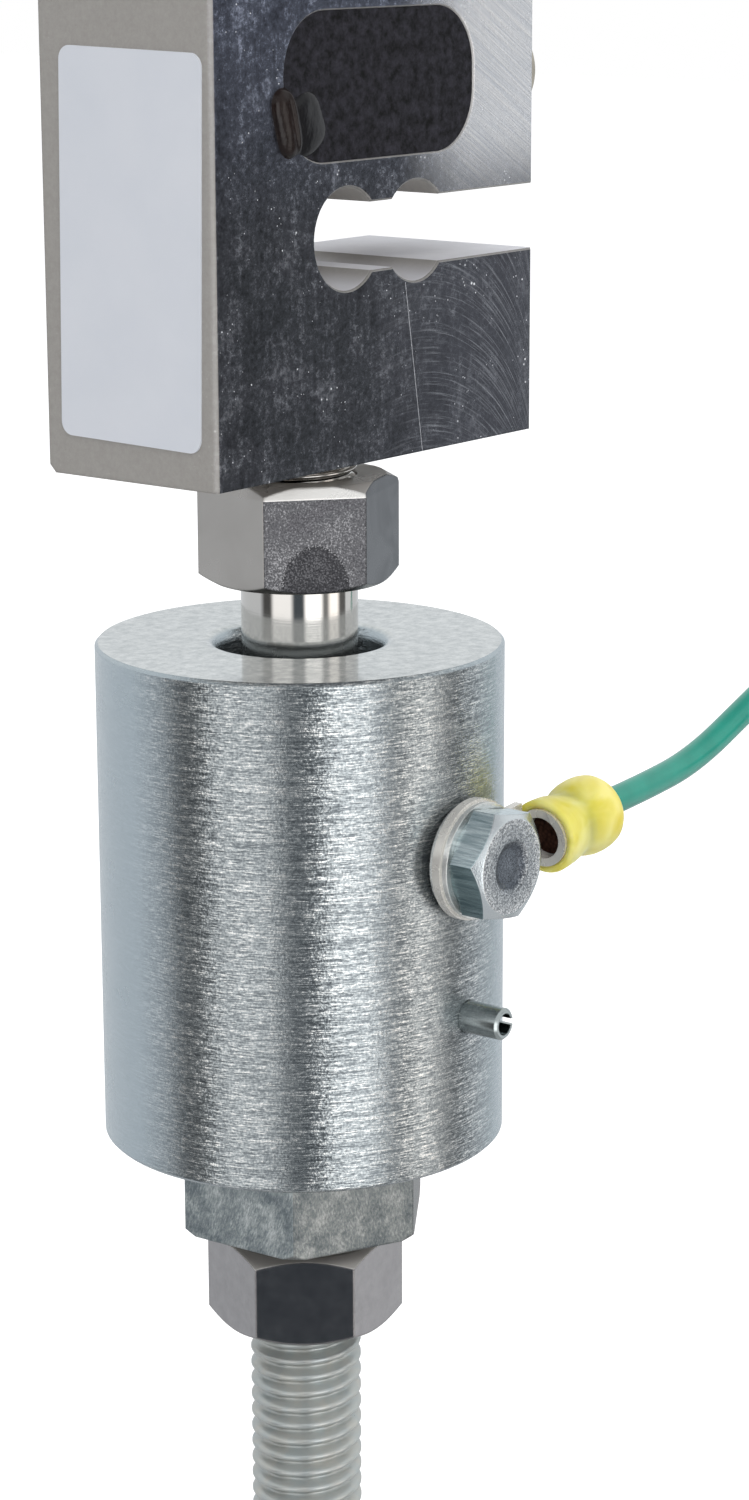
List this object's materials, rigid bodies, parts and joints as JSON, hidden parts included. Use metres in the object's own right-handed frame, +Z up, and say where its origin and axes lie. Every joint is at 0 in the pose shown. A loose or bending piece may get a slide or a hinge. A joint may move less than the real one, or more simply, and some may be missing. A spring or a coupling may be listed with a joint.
{
  "type": "s-type load cell with ground coupling",
  "caption": "S-shaped load cell with a ball-jointed, insulated rod coupling below it and a short ground wire, for weighing in a tension rod.",
  "frame": {"origin": "centre of the block's top face, at the mouth of its upper threaded hole", "axes": "+Z up along the load axis, out of the upper threaded hole; +X the block's width, away from the label; +Y its depth, away from the ground bolt"},
  "size_m": [0.1379, 0.0576, 0.274],
  "materials": {
    "nickel_steel": "nickel-plated milled steel",
    "potting": "black potting compound",
    "sealant": "dark sealant",
    "gauge_foil": "foil gauge on amber film",
    "board": "solder terminal board",
    "nickel_brass": "nickel-plated brass",
    "label": "blank foil label",
    "nickel_nut": "nickel-plated steel",
    "ground_steel": "ground bright steel",
    "nylon": "moulded nylon",
    "turned_steel": "turned steel",
    "zinc_housing": "zinc-plated turned steel",
    "zinc_plug": "zinc-plated milled steel",
    "spring_steel": "bright spring steel",
    "zinc_bolt": "zinc-plated forged steel",
    "zinc_washer": "zinc-plated stamped steel",
    "tinned_copper": "tinned copper",
    "copper": "bare copper strands",
    "yellow_vinyl": "yellow vinyl sleeve",
    "green_vinyl": "green vinyl insulation",
    "dark_nut": "nickel-plated steel",
    "zinc_rod": "zinc-plated rolled thread"
  },
  "bodies": {
    "load_cell": {"load_cell_body": "nickel_steel", "front_potting": "potting", "rear_potting": "potting", "sealant_bead": "sealant", "strain_gauges": "gauge_foil", "terminal_boards": "board", "cable_inlet_bush": "nickel_brass", "rating_label": "label", "upper_lock_nut": "nickel_nut", "swivel_stud": "ground_steel"},
    "cup": {"insulating_cup": "nylon"},
    "seat": {"seat_washer": "turned_steel"},
    "coupling": {"coupling_housing": "zinc_housing", "thrust_washer": "turned_steel", "insulating_spacer": "nylon", "end_plug": "zinc_plug", "spring_pin": "spring_steel", "ground_bolt": "zinc_bolt", "lock_washer": "zinc_washer", "flat_washer": "zinc_washer", "ring_terminal": "tinned_copper", "crimped_conductor": "copper", "terminal_sleeve": "yellow_vinyl", "ground_wire": "green_vinyl", "end_ring_terminal": "tinned_copper", "end_crimped_conductor": "copper", "end_terminal_sleeve": "yellow_vinyl", "lower_lock_nut": "dark_nut", "threaded_rod": "zinc_rod"}
  },
  "joints": [
    {"name": "cup_tilt", "type": "hinge", "parent": "load_cell", "child": "cup", "pos_m": [0, 0, -0.1205], "axis": [1, 0, 0], "range_deg": [-4, 4]},
    {"name": "seat_tilt", "type": "hinge", "parent": "cup", "child": "seat", "pos_m": [0, 0, -0.1205], "axis": [0, 1, 0], "range_deg": [-4, 4]},
    {"name": "coupling_swivel", "type": "hinge", "parent": "seat", "child": "coupling", "pos_m": [0, 0, -0.1205], "axis": [0, 0, 1], "continuous": true}
  ]
}
